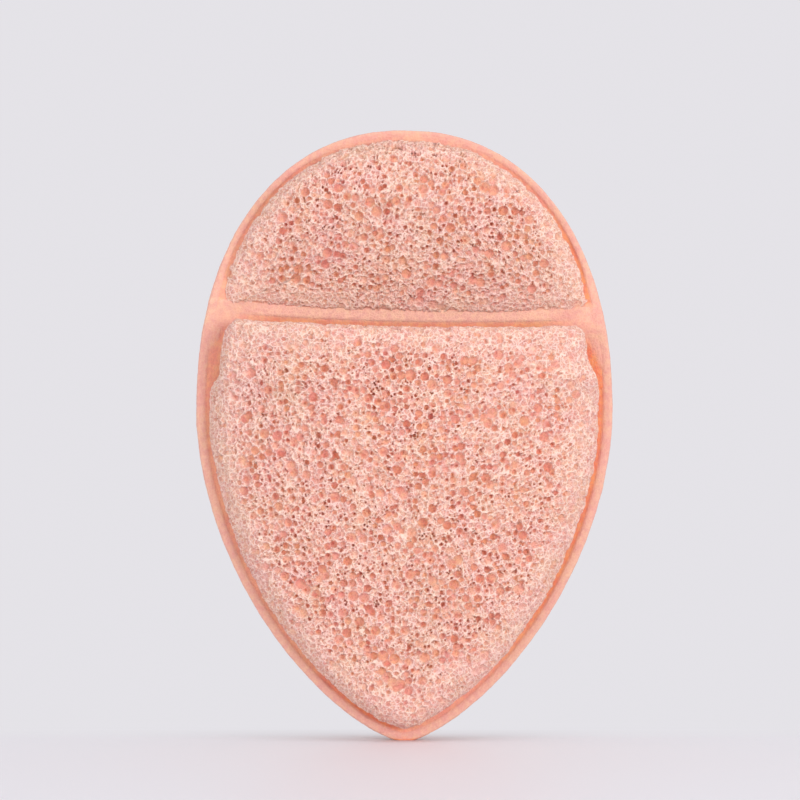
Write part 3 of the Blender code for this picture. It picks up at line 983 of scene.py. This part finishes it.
@dataclass
class PressedRims:
    """The pressed edge of the three sheets: a bead outside, and a crease beside the pad."""

    weld: Weld
    steps: int = 380
    bead_width: float = 0.00165
    overlap: float = 0.0001
    # A painted contact shadow darkens the rims where they meet the floor.
    contact_shadow_height: float = 0.0007
    contact_shadow_strength: float = 2.0
    rounding: int = 2
    # These set how open the crease is, and with it its depth and its painted shade.
    top_closing: float = 0.70
    top_reach: tuple[float, float] = (0.010, 0.002)
    tip_gape: float = 0.75
    tip_heights: tuple[float, float] = (0.004, 0.024)
    tip_sides: tuple[float, float] = (-0.002, 0.004)
    right_gape: float = 0.65
    right_sides: tuple[float, float] = (0.010, 0.030)
    right_heights: tuple[float, float] = (0.100, 0.112)
    hem_closing: float = 0.85
    hem_foot: tuple[float, float] = (0.0800, 0.0835)
    hem_head: tuple[float, float] = (0.0885, 0.0900)
    # The third number of each point is its painted shade: 0 on the bead, 1 in the crease.
    section: tuple[SectionPoint, ...] = (
        SectionPoint(0.00006, 0.0, 0.1),
        SectionPoint(0.0, 0.40, 0.0),
        SectionPoint(0.00006, 0.80, 0.0),
        SectionPoint(0.00030, 0.96, 0.0),
        SectionPoint(0.00080, 1.0, 0.0),
        SectionPoint(0.00155, 0.99, 0.0),
        SectionPoint(0.00190, 0.93, 0.3),
        SectionPoint(0.00215, 0.84, 1.0),
        SectionPoint(0.00265, 0.82, 1.0),
        SectionPoint(0.00380, 0.82, 1.0),
        SectionPoint(0.00380, 0.0, 1.0),
    )

    def openness(self, places: Array, side: Side) -> Array:
        """How open the crease is, 1 being even, which sets its depth and its painted shade: less at the top
        and beside the hem, more at the right.

        Args:
            places: points of the crease as rows of x and z.
            side: the side of the weld plane.

        Returns:
            How open it is at each place.
        """
        x, z = places[:, 0], places[:, 1]
        over = 1 - self.top_closing * smooth_step(z, *(self.weld.drop.top - np.array(self.top_reach)))
        if side is Side.FACE:
            return over
        tip = self.tip_gape * (1 - smooth_step(z, *self.tip_heights)) * smooth_step(-x, *self.tip_sides)
        right = self.right_gape * smooth_step(x, *self.right_sides)
        right = right * (1 - smooth_step(z, *self.right_heights))
        hem = smooth_step(z, *self.hem_foot) * (1 - smooth_step(z, *self.hem_head))
        return over * (1 + tip + right) * (1 - self.hem_closing * hem)

    def ring(self, name: str, side: Side) -> bpy.types.Object:
        """Models a whole rim on one side: a circle set on the drop, and extruded round its section.

        Args:
            name: the piece's name.
            side: the side of the weld plane.

        Returns:
            The ring.
        """
        angles = np.linspace(0, math.tau, self.steps, endpoint=False)
        heights = self.weld.drop.places(angles)[:, 1]
        width_share = 1.0 if side is Side.FACE else self.weld.rim_share(heights)
        bpy.ops.object.select_all(action="DESELECT")
        bpy.ops.mesh.primitive_circle_add(vertices=self.steps, radius=self.weld.drop.half_width)
        piece = start_piece(name)
        bpy.ops.object.mode_set(mode="EDIT")
        bpy.ops.mesh.select_all(action="SELECT")
        shape = bmesh.from_edit_mesh(piece.data)
        step_layer = shape.verts.layers.int.new("step")
        crease_layer = shape.verts.layers.float.new("crease")
        shape.verts.ensure_lookup_table()
        for number, vertex in enumerate(shape.verts):
            vertex[step_layer] = number
        for number, point in enumerate((*self.section, self.section[0])):
            if number:
                bpy.ops.mesh.extrude_region_move()
                shape = bmesh.from_edit_mesh(piece.data)
                step_layer = shape.verts.layers.int["step"]
                crease_layer = shape.verts.layers.float["crease"]
            places = self.weld.drop.places(angles, point.across * width_share)
            opened = self.openness(places, side) if point.across > self.bead_width else np.ones(self.steps)
            out = np.clip(1 - opened * (1 - point.out), 0.0, 1.0)
            depth = blend(-self.overlap, self.weld.seat + self.weld.rim_thickness, out)
            # Painted contact shadow, strongest at the floor.
            contact_shadow = 1 - smooth_step(places[:, 1], 0.0, self.contact_shadow_height)
            for vertex in shape.verts:
                if vertex.select:
                    step = vertex[step_layer]
                    x, z = places[step]
                    vertex.co = (x, self.weld.out(side, depth[step]), z)
                    # The crease's painted shade deepens with its openness; near the floor the painted contact
                    # shadow is darker still.
                    vertex[crease_layer] = max(point.crease * opened[step], self.contact_shadow_strength * contact_shadow[step])
            bmesh.update_edit_mesh(piece.data)
        bpy.ops.mesh.select_all(action="SELECT")
        bpy.ops.mesh.remove_doubles(threshold=MERGE_DISTANCE)
        bpy.ops.mesh.normals_make_consistent(inside=False)
        bpy.ops.object.mode_set(mode="OBJECT")
        smoothed(piece, self.rounding)
        Grain().press_into(piece)
        return piece

    def cut(self, ring: bpy.types.Object, name: str, above: bool) -> bpy.types.Object:
        """Copies a ring and keeps its part above or below the height where two sheets meet.

        Args:
            ring: the whole ring.
            name: the new piece's name.
            above: whether the upper part is kept.

        Returns:
            The part, with its cut ends closed.
        """
        part = ring.copy()
        part.data = ring.data.copy()
        part.name = part.data.name = name
        bpy.context.collection.objects.link(part)
        bpy.ops.object.select_all(action="DESELECT")
        bpy.context.view_layer.objects.active = part
        part.select_set(True)
        bpy.ops.object.mode_set(mode="EDIT")
        bpy.ops.mesh.select_all(action="SELECT")
        bpy.ops.mesh.bisect(
            plane_co=(0, 0, self.weld.rim_split_height),
            plane_no=(0, 0, 1),
            use_fill=True,
            clear_inner=above,
            clear_outer=not above,
        )
        bpy.ops.mesh.mark_sharp()
        bpy.ops.object.mode_set(mode="OBJECT")
        return part

    def make(self) -> list[tuple[bpy.types.Object, str]]:
        """Models the three rims.

        Returns:
            Each piece with the node that it stands for.
        """
        face = self.ring("face_edge", Side.FACE)
        rear = self.ring("rear_edge", Side.POCKET)
        made = [
            (face, "face_rim"),
            (self.cut(rear, "flap_edge", True), "flap_rim"),
            (self.cut(rear, "pocket_edge", False), "pocket_rim"),
        ]
        bpy.data.objects.remove(rear, do_unlink=True)
        return made


@dataclass
class FlapHem:
    """The pressed strip under the flap pad, and the ears that run down beside the pocket.

    Below the middle band of the hem, which is painted lighter as if lit, lies the slot over the lip, painted
    with shade; each ear dips, and is painted darker as shade towards its foot.
    """

    weld: Weld
    ear_foot_height: float = 0.0722
    ear_foot_width: float = 0.0026
    ear_width: float = 0.0064
    tuck: float = 0.0016
    cover: float = 0.0014
    side_inset: float = 0.0014
    ear_steps: int = 24
    hem_steps: int = 130
    slot_height: float = 0.0004375
    slot_fade: tuple[float, float] = (0.026, 0.036)
    ear_dip: tuple[float, float] = (0.0788, 0.0818)
    ear_lean: tuple[float, float] = (-0.0040, 0.0018)
    ear_lean_inset: tuple[float, float] = (0.0016, 0.0044)
    left_lift: float = 0.0028
    dip: float = 0.16
    slot_rise: float = 0.0007
    # Painted shade in the slot over the lip, weaker towards its sides.
    slot_shade: float = 1.5
    side_slot_shade_share: float = 0.2
    # The ears are painted darker as shade towards their feet, more on the right.
    ear_shades: tuple[float, float] = (1.25, 1.8)
    ear_sides: tuple[float, float] = (-0.02, 0.02)
    rounding: int = 2
    side_tuck: float = 0.14
    hem_tuck: float = 0.5
    second_tuck_share: float = 1 / 6
    tuck_rise: tuple[float, float] = (0.0868, 0.0886)
    across: tuple[float, ...] = (0.0, 0.10, 0.22, 0.34, 0.46, 0.56, 0.62, 0.68, 0.76, 0.86, 1.0)

    def edges(self) -> tuple[Array, Array]:
        """The ribbon's two long edges, from the left ear's foot over the hem to the right one's.

        Returns:
            The outer edge and the inner one, as rows of x and z.
        """
        weld, drop = self.weld, self.weld.drop
        foot = self.ear_foot_height
        corner_z = float(weld.hem_top(drop.half_width_at(weld.hem_top(drop.half_width), self.side_inset)))
        corner_z += self.cover
        heights = np.linspace(foot, corner_z, self.ear_steps, endpoint=False)
        side = np.column_stack((drop.half_width_at(heights, self.side_inset), heights))
        corner_x = float(drop.half_width_at(np.array(corner_z), self.side_inset))
        root_x = corner_x - self.ear_width
        low = float(weld.hem_low(root_x)) - self.tuck
        share = np.linspace(0, 1, self.ear_steps, endpoint=False)[:, None]
        inner_side = blend(np.array((side[0, 0] - self.ear_foot_width, foot)), np.array((root_x, low)), share)
        x = np.linspace(1, -1, self.hem_steps)
        top = np.column_stack((corner_x * x, weld.hem_top(corner_x * x) + self.cover))
        under = np.column_stack((root_x * x, weld.hem_low(root_x * x) - self.tuck))
        flip = np.array((-1.0, 1.0))
        outer = np.concatenate((side, top, side[::-1] * flip))
        inner = np.concatenate((inner_side, under, inner_side[::-1] * flip))
        return outer, inner

    def pressed(self, x: Array, z: Array) -> tuple[Array, Array]:
        """How far out the strip stands at each place, and its painted light and shade.

        Args:
            x: the places across the glove.
            z: their heights.

        Returns:
            The share of the strip's thickness, and its painted shade, down to -1 on the band painted lighter
            as if lit.
        """
        middle = 1 - smooth_step(np.abs(x), *self.slot_fade)
        slot = smooth_step(self.weld.hem_low(x) + self.slot_height - z, 0.0, self.slot_rise)
        slot_shade = self.slot_shade * slot * blend(self.side_slot_shade_share, 1.0, middle)
        inset = self.weld.drop.half_width_at(z) - np.abs(x)
        lift = self.left_lift * (x < 0) + blend(*self.ear_lean, smooth_step(inset, *self.ear_lean_inset))
        # Painted shade in each ear, near its foot.
        ear = 1 - smooth_step(z - lift, *self.ear_dip)
        ear_shade = ear * blend(*self.ear_shades, smooth_step(x, *self.ear_sides))
        out = 1 - self.dip * np.maximum(slot * middle, ear)
        # The second value paints light and shade: -1 lightens the hem's middle band as if lit, and above 0 is
        # shade in the slot and ears.
        return out, np.maximum(slot_shade, ear_shade) - (1 - slot) * middle

    def make(self) -> bpy.types.Object:
        """Models the hem: a grid laid along the ribbon, thickened down to the weld plane.

        Returns:
            The new piece.
        """
        outer, inner = self.edges()
        rows, columns = len(outer), len(self.across)
        bpy.ops.object.select_all(action="DESELECT")
        bpy.ops.mesh.primitive_grid_add(x_subdivisions=rows - 1, y_subdivisions=columns - 1, size=RAW_SIZE)
        piece = start_piece("flap_hem_strip")
        lines = blend(outer[None], inner[None], np.array(self.across)[:, None, None])
        out, tint = self.pressed(lines[..., 0], lines[..., 1])
        tucked = blend(self.side_tuck, self.hem_tuck, smooth_step(lines[0, :, 1], *self.tuck_rise))
        out[0] -= tucked
        out[1] -= tucked * self.second_tuck_share
        y = self.weld.out(Side.POCKET, self.weld.seat + out * self.weld.hem_thickness)
        places = np.stack((lines[..., 0], y, lines[..., 1]), axis=-1).reshape(-1, 3)
        piece.data.vertices.foreach_set("co", places.astype(np.float32).ravel())
        # The crease attribute carries the hem's painted light and shade.
        layer = piece.data.attributes.new("crease", "FLOAT", "POINT")
        layer.data.foreach_set("value", tint.astype(np.float32).ravel())
        bpy.ops.object.mode_set(mode="EDIT")
        bpy.ops.mesh.select_all(action="SELECT")
        bpy.ops.mesh.extrude_region_move()
        shape = bmesh.from_edit_mesh(piece.data)
        for vertex in shape.verts:
            if vertex.select:
                vertex.co.y = self.weld.out(Side.POCKET, self.weld.seat)
        bmesh.update_edit_mesh(piece.data)
        bpy.ops.mesh.select_all(action="SELECT")
        bpy.ops.mesh.normals_make_consistent(inside=False)
        bpy.ops.object.mode_set(mode="OBJECT")
        smoothed(piece, self.rounding)
        Grain().press_into(piece)
        return piece


class Graph:
    """A node tree, with short calls that add, set and link its nodes."""

    def __init__(self, tree: bpy.types.NodeTree) -> None:
        """Keeps the tree that the calls work on."""
        self.tree = tree

    def node(self, kind: str, values: dict[str | int, object], **settings: object) -> bpy.types.Node:
        """Adds a node.

        Args:
            kind: the node's type without its leading word, as in MapRange.
            values: for an input, by name or number, its value or the socket to link to it.
            settings: the node's own properties.

        Returns:
            The new node.
        """
        made = self.tree.nodes.new(f"ShaderNode{kind}")
        for name, value in settings.items():
            setattr(made, name, value)
        return self.fill(made.name, values)

    def fill(self, name: str, values: dict[str | int, object]) -> bpy.types.Node:
        """Sets and links the inputs of a node that is there already.

        Args:
            name: the node's name.
            values: for an input, by name or number, its value or the socket to link to it.

        Returns:
            The node.
        """
        node = self.tree.nodes[name]
        for key, value in values.items():
            if isinstance(value, bpy.types.NodeSocket):
                self.tree.links.new(value, node.inputs[key])
            else:
                node.inputs[key].default_value = value
        return node

    def place(self) -> bpy.types.NodeSocket:
        """The point that is shaded, in the piece's own coordinates."""
        return self.node("TexCoord", {}).outputs["Object"]

    def mix(self, share: object, first: object, second: object) -> bpy.types.NodeSocket:
        """A blend of two colours."""
        values = {MIX_SHARE: share, MIX_FIRST: first, MIX_SECOND: second}
        return self.node("Mix", values, data_type="RGBA").outputs[MIX_RESULT]

    def math(self, operation: str, first: object, second: object) -> bpy.types.NodeSocket:
        """A sum, product or the like of two numbers."""
        return self.node("Math", {0: first, 1: second}, operation=operation).outputs[0]

    def ramp(self, value: object, start: float, end: float, low: float, high: float) -> bpy.types.NodeSocket:
        """A number brought smoothly from one range to another."""
        values = {"Value": value, "From Min": start, "From Max": end, "To Min": low, "To Max": high}
        return self.node("MapRange", values, interpolation_type="SMOOTHSTEP").outputs[0]

    def attribute(self, name: str) -> bpy.types.NodeSocket:
        """A number that the mesh carries."""
        return self.node("Attribute", {}, attribute_name=name).outputs["Fac"]

    def group(self, tree: bpy.types.NodeTree, values: dict[str | int, object]) -> bpy.types.Node:
        """Adds a shared group."""
        return self.node("Group", values, node_tree=tree)


def opaque(colour: Colour) -> tuple[float, float, float, float]:
    """A colour as a shader's input takes it."""
    return (*colour, 1.0)


def new_group(name: str, takes: dict[str, str], gives: dict[str, str]) -> tuple[Graph, dict, dict]:
    """Starts a node group.

    Args:
        name: the group's name.
        takes: its inputs, with their kinds.
        gives: its outputs, with their kinds.

    Returns:
        The group's graph, the sockets that its inputs arrive at, and those that its outputs leave by.
    """
    tree = bpy.data.node_groups.new(name, "ShaderNodeTree")
    for direction, sockets in (("INPUT", takes), ("OUTPUT", gives)):
        for label, kind in sockets.items():
            tree.interface.new_socket(label, in_out=direction, socket_type=f"NodeSocket{kind}")
    arrive, leave = tree.nodes.new("NodeGroupInput"), tree.nodes.new("NodeGroupOutput")
    return Graph(tree), arrive.outputs, leave.inputs


@dataclass(frozen=True)
class Tint:
    """A shared group that makes a colour drift between peach and pink, and lighter and darker."""

    broad_scale: float = 160.0
    broad_detail: float = 1.0
    broad_share: float = 0.4
    fine_scale: float = 900.0
    fine_detail: float = 2.0
    fine_share: float = 0.6
    noise: tuple[float, float] = (0.3, 0.7)
    hues: tuple[float, float] = (0.487, 0.513)
    values: tuple[float, float] = (0.96, 1.03)

    def group(self) -> bpy.types.NodeTree:
        """Builds the group.

        Returns:
            The group's tree.
        """
        graph, takes, gives = new_group("foam tint", {"Colour": "Color"}, {"Colour": "Color"})
        place = graph.place()
        look = {"Vector": place, "Scale": self.broad_scale, "Detail": self.broad_detail}
        broad = graph.node("TexNoise", look).outputs[0]
        look = {"Vector": place, "Scale": self.fine_scale, "Detail": self.fine_detail}
        fine = graph.node("TexNoise", look).outputs[0]
        broad_part = graph.math("MULTIPLY", broad, self.broad_share)
        fine_part = graph.math("MULTIPLY", fine, self.fine_share)
        hue = graph.ramp(graph.math("ADD", broad_part, fine_part), *self.noise, *self.hues)
        value = graph.ramp(fine, *self.noise, *self.values)
        tinted = graph.node("HueSaturation", {"Hue": hue, "Value": value, "Color": takes["Colour"]})
        graph.tree.links.new(tinted.outputs[0], gives["Colour"])
        return graph.tree


@dataclass(frozen=True)
class FinePores:
    """A shared group of small pores between thin struts: 0 on a strut, and 1 in a pore of a size."""

    strut: tuple[float, float] = (0.03, 0.16)

    def group(self) -> bpy.types.NodeTree:
        """Builds the group.

        Returns:
            The group's tree.
        """
        graph, takes, gives = new_group("fine pores", {"Size": "Float"}, {"Pore": "Float"})
        look = {"Vector": graph.place(), "Scale": graph.math("DIVIDE", 1.0, takes["Size"])}
        edge = graph.node("TexVoronoi", look, feature="DISTANCE_TO_EDGE").outputs[0]
        graph.tree.links.new(graph.ramp(edge, *self.strut, 0.0, 1.0), gives["Pore"])
        return graph.tree


@dataclass(frozen=True)
class FoamFinish:
    """What both finishes of the foam share.

    Attributes:
        tint: the group that makes the colour drift.
        pores: the group of fine pores.
        specular: how strongly the foam shines.
    """

    tint: bpy.types.NodeTree
    pores: bpy.types.NodeTree
    specular: float = 0.2

    def finish(
        self, material: bpy.types.Material, colour: object, pore: object, relief: float, roughness: float
    ) -> bpy.types.Material:
        """Joins a colour and pores to the shader.

        Args:
            material: the new material.
            colour: the colour's socket.
            pore: the pores' socket.
            relief: how deep the pores look, in metres.
            roughness: the shader's roughness.

        Returns:
            The material.
        """
        graph = Graph(material.node_tree)
        tinted = graph.group(self.tint, {"Colour": colour}).outputs[0]
        bump = graph.node("Bump", {"Strength": 1.0, "Distance": relief, "Height": pore}, invert=True)
        shader = {"Roughness": roughness, "Specular IOR Level": self.specular}
        graph.fill("Principled BSDF", {**shader, "Base Color": tinted, "Normal": bump.outputs[0]})
        return material


def new_material(name: str) -> tuple[bpy.types.Material, Graph]:
    """Starts a material with its own shader.

    Args:
        name: the material's name.

    Returns:
        The material and its graph.
    """
    made = bpy.data.materials.new(name)
    made.use_nodes = True
    return made, Graph(made.node_tree)


@dataclass(frozen=True)
class PressedFinish(FoamFinish):
    """Pressed foam: smooth and dull, with a fine grain whose pores are painted darker as shade, a hem band
    painted lighter as if lit, and painted shade in the crease, slot, ears and gaps.
    """

    # lit is a painted highlight, for the hem's middle band; bead is the pressed foam's own colour.
    lit: Colour = (0.95, 0.55, 0.43)
    bead: Colour = (0.84, 0.46, 0.36)
    # crease and deep are painted shade: in the crease beside the pad, and deepest in the slot, the ears, the
    # gaps and the contact shadow at the foot.
    crease: Colour = (0.92, 0.425, 0.285)
    deep: Colour = (0.90, 0.27, 0.10)
    # grain is painted shade in the pores of the pressed foam.
    grain: Colour = (0.78, 0.35, 0.26)
    grain_size: float = 0.00060
    pore_shade_share: float = 0.42
    relief: float = 0.00003
    roughness: float = 0.7

    def material(self) -> bpy.types.Material:
        """Builds the material.

        Returns:
            The material.
        """
        material, graph = new_material("pressed foam")
        crease, colour = graph.attribute("crease"), opaque(self.lit)
        # Paints light and shade by the crease attribute: lighter as if lit at -1, the bead's own colour at 0,
        # shade at 1 and deeper shade at 2.
        for start, shade in ((-1.0, self.bead), (0.0, self.crease), (1.0, self.deep)):
            colour = graph.mix(graph.ramp(crease, start, start + 1.0, 0.0, 1.0), colour, opaque(shade))
        pore = graph.group(self.pores, {"Size": self.grain_size}).outputs[0]
        # Paints the fine pores darker as shade.
        colour = graph.mix(graph.math("MULTIPLY", pore, self.pore_shade_share), colour, opaque(self.grain))
        return self.finish(material, colour, pore, self.relief, self.roughness)


@dataclass(frozen=True)
class PorousFinish(FoamFinish):
    """Open foam: pale struts over cut cells painted coral and darker by their depth as shade, and fine pores
    everywhere, painted darker as shade.
    """

    strut: Colour = (0.93, 0.65, 0.562)
    # Painted shade in the cut cells: coral where a cell is cut, darker where it is deep; the tone picks warm
    # or pink at random.
    warm_pit_shade: Colour = (0.88, 0.415, 0.26)
    pink_pit_shade: Colour = (0.87, 0.405, 0.325)
    deep_pit_shade: Colour = (0.82, 0.28, 0.17)
    # Painted shade in the fine pores.
    fine_pore_shade: Colour = (0.76, 0.33, 0.245)
    pit_shade_depths: tuple[float, float] = (0.04, 0.55)
    deep_shade_depths: tuple[float, float] = (0.45, 0.95)
    deep_shade_share: float = 0.55
    small_size: float = 0.00092
    smallest_size: float = 0.00050
    small_alone: float = 0.35
    fine_shade_depths: tuple[float, float] = (0.0, 0.6)
    fine_shade_shares: tuple[float, float] = (0.86, 0.58)
    relief: float = 0.00010
    roughness: float = 0.85

    def material(self) -> bpy.types.Material:
        """Builds the material.

        Returns:
            The material.
        """
        material, graph = new_material("porous foam")
        pit, tone = graph.attribute("pit"), graph.attribute("tone")
        # Paints shade into the cells by their depth: coral at first, then darker in the deepest.
        cell = graph.mix(tone, opaque(self.warm_pit_shade), opaque(self.pink_pit_shade))
        colour = graph.mix(graph.ramp(pit, *self.pit_shade_depths, 0.0, 1.0), opaque(self.strut), cell)
        deep = graph.ramp(pit, *self.deep_shade_depths, 0.0, self.deep_shade_share)
        colour = graph.mix(deep, colour, opaque(self.deep_pit_shade))
        small = graph.group(self.pores, {"Size": self.small_size}).outputs[0]
        smallest = graph.group(self.pores, {"Size": self.smallest_size}).outputs[0]
        both = graph.math("MULTIPLY", smallest, 1 - self.small_alone)
        pore = graph.math("MULTIPLY", small, graph.math("ADD", self.small_alone, both))
        # Paints the fine pores darker as shade, less where a cell is painted darker already.
        share = graph.math("MULTIPLY", pore, graph.ramp(pit, *self.fine_shade_depths, *self.fine_shade_shares))
        colour = graph.mix(share, colour, opaque(self.fine_pore_shade))
        return self.finish(material, colour, pore, self.relief, self.roughness)


@dataclass(frozen=True)
class Lamp:
    """A round soft lamp: its name, its place, its width and its power in watts."""

    name: str
    place: tuple[float, float, float]
    width: float
    power: float

    def light(self, aim: Vector) -> None:
        """Adds the lamp.

        Args:
            aim: the point that it looks at.
        """
        light = bpy.data.lights.new(self.name, "AREA")
        light.shape = "DISK"
        light.size = self.width
        light.energy = self.power
        lamp = bpy.data.objects.new(self.name, light)
        bpy.context.collection.objects.link(lamp)
        lamp.location = self.place
        lamp.rotation_euler = (aim - lamp.location).to_track_quat("-Z", "Y").to_euler()


@dataclass
class Studio:
    """A pale floor, a pale surround, soft lamps and the camera."""

    frame_width: float = 0.1637
    distance: float = 0.95
    elevation: float = 2.0
    sensor: float = 36.0
    middle: tuple[float, float] = (-0.0009, 0.0699)
    ambient: Colour = (0.72, 0.72, 0.72)
    backdrop: Colour = (0.781, 0.766, 0.803)
    floor_colour: Colour = (0.805, 0.785, 0.845)
    paper_share: float = 0.84
    fold: tuple[float, float] = (0.019, 0.023)
    pool: tuple[float, float] = (0.36, 0.85)
    floor_size: float = 24.0
    floor_roughness: float = 0.48
    floor_specular: float = 0.4
    nearest: float = 0.01
    furthest: float = 20.0
    lit_height: float = 0.06
    lamps: tuple[Lamp, ...] = (
        Lamp("key", (0.95, -1.20, 0.35), 0.75, 10.2),
        Lamp("fill", (-1.05, -1.05, 0.14), 0.75, 5.9),
        Lamp("top", (0.15, -0.45, 1.25), 0.60, 3.0),
    )

    def camera(self) -> None:
        """Places the camera where the photograph's was."""
        data = bpy.data.cameras.new("camera")
        data.sensor_width = self.sensor
        data.lens = self.sensor * self.distance / self.frame_width
        camera = bpy.data.objects.new("camera", data)
        bpy.context.collection.objects.link(camera)
        rise = math.radians(self.elevation)
        aim = Vector((self.middle[0], 0.0, self.middle[1]))
        back = Vector((0.0, -math.cos(rise), math.sin(rise)))
        camera.location = aim + back * self.distance
        camera.rotation_euler = (-back).to_track_quat("-Z", "Y").to_euler()
        data.clip_start, data.clip_end = self.nearest, self.furthest
        bpy.context.scene.camera = camera
        bpy.context.scene.view_settings.view_transform = "Standard"

    def surround(self) -> None:
        """The light from all round, and the backdrop that the camera sees in its place."""
        world = bpy.data.worlds.new("surround")
        bpy.context.scene.world = world
        world.use_nodes = True
        graph = Graph(world.node_tree)
        seen = graph.node("LightPath", {}).outputs["Is Camera Ray"]
        graph.fill("Background", {"Color": graph.mix(seen, opaque(self.ambient), opaque(self.backdrop))})

    def floor(self) -> None:
        """The pale floor, which passes into the backdrop's colour a little way behind the glove."""
        bpy.ops.object.select_all(action="DESELECT")
        bpy.ops.mesh.primitive_plane_add(size=self.floor_size)
        floor = bpy.context.active_object
        floor.name = "floor"
        material, graph = new_material("floor")
        shine = {"Roughness": self.floor_roughness, "Specular IOR Level": self.floor_specular}
        shader = graph.fill("Principled BSDF", {**shine, "Base Color": opaque(self.floor_colour)})
        back = graph.node("SeparateXYZ", {0: graph.place()}).outputs[1]
        paper = graph.node("Emission", {"Color": opaque(self.backdrop)}).outputs[0]
        far = graph.ramp(back, 0.0, self.fold[0], 0.0, self.paper_share)
        share = graph.math("ADD", far, graph.ramp(back, *self.fold, 0.0, 1 - self.paper_share))
        away = graph.node("VectorMath", {0: graph.place()}, operation="LENGTH").outputs["Value"]
        share = graph.math("MAXIMUM", share, graph.ramp(away, *self.pool, 0.0, 1.0))
        surface = graph.node("MixShader", {0: share, 1: shader.outputs[0], 2: paper}).outputs[0]
        graph.fill("Material Output", {"Surface": surface})
        floor.data.materials.append(material)

    def set_up(self) -> None:
        """Adds the camera, the lamps, the surround and the floor."""
        self.camera()
        for lamp in self.lamps:
            lamp.light(Vector((0.0, 0.0, self.lit_height)))
        self.surround()
        self.floor()


def dress(piece: bpy.types.Object, node: str, material: bpy.types.Material) -> None:
    """Gives a piece its material, hides the node that it stands for, and hangs the piece on the body.

    Args:
        piece: the new piece.
        node: the node that it replaces.
        material: its material.
    """
    piece.data.materials.clear()
    piece.data.materials.append(material)
    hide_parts(node)
    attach(piece, BODY)
    log.info("%s: %d faces", piece.name, len(piece.data.polygons))


def main() -> None:
    """Builds the glove and its studio."""
    logging.basicConfig(level=logging.INFO, format="%(name)s: %(message)s")
    low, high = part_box("face_rim")
    drop = Drop((high.x - low.x) / 2, high.z)
    weld = Weld(low.y - Weld.clearance / 2, drop)
    groups = Tint().group(), FinePores().group()
    pressed = PressedFinish(*groups).material()
    for piece, node in (*PressedRims(weld).make(), (FlapHem(weld).make(), "flap_hem")):
        dress(piece, node, pressed)
    Studio().set_up()
    porous = PorousFinish(*groups).material()
    for pad in (PocketPad(weld), FlapPad(weld), FacePad(weld)):
        piece = pad.make()
        dress(piece, pad.node, porous)


if __name__ == "__main__":
    main()
